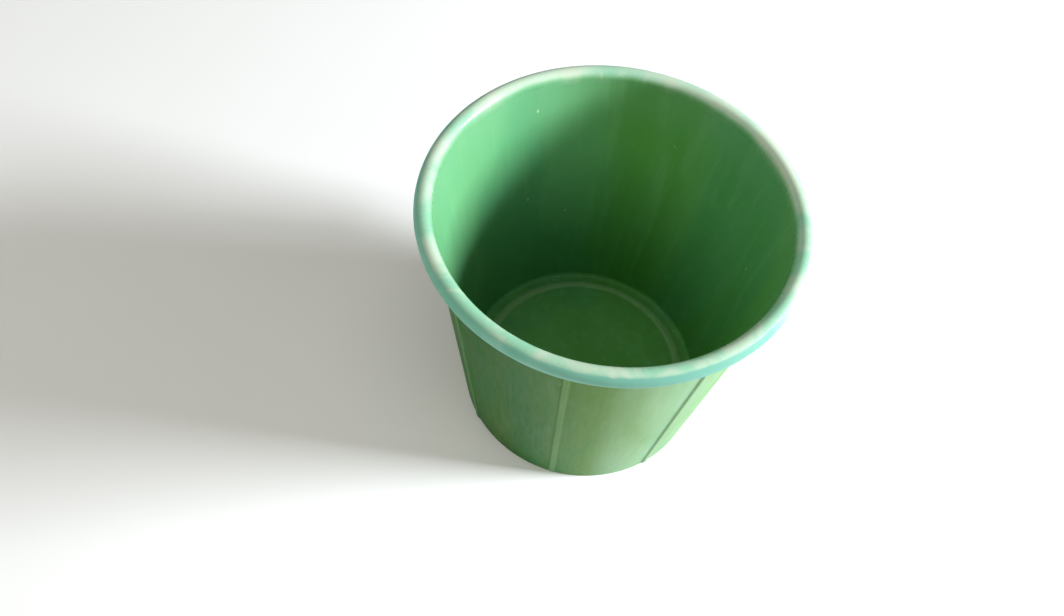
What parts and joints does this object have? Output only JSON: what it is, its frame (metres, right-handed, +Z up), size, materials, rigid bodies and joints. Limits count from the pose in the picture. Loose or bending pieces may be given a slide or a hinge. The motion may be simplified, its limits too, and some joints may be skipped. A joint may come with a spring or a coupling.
{
  "type": "sand bucket",
  "caption": "Round tapered plastic bucket with a rolled rim, upright outer ribs and a raised floor disc, carried by a swinging wire bail with a loose fluted grip.",
  "frame": {"origin": "centre of the foot, on the bucket's own axis at the height of the surface it stands on", "axes": "+Z up along the bucket's axis, +X along the pivots of the bail, +Y towards the side where the bail hangs at rest"},
  "size_m": [0.2302, 0.2223, 0.191],
  "materials": {
    "bucket_plastic": "satin moulded polypropylene, marbled green",
    "steel_wire": "bright galvanised wire",
    "grip_plastic": "satin moulded polypropylene"
  },
  "bodies": {
    "bucket": {"bucket_shell": "bucket_plastic"},
    "bail": {"bail_wire": "steel_wire"},
    "grip": {"grip": "grip_plastic"}
  },
  "joints": [
    {"name": "bail_swing", "type": "hinge", "parent": "bucket", "child": "bail", "pos_m": [0, 0, 0.168], "axis": [1, 0, 0], "range_deg": [0, 246.3]},
    {"name": "grip_spin", "type": "hinge", "parent": "bail", "child": "grip", "pos_m": [0, 0.10301, 0.1006], "axis": [1, 0, 0], "continuous": true}
  ]
}
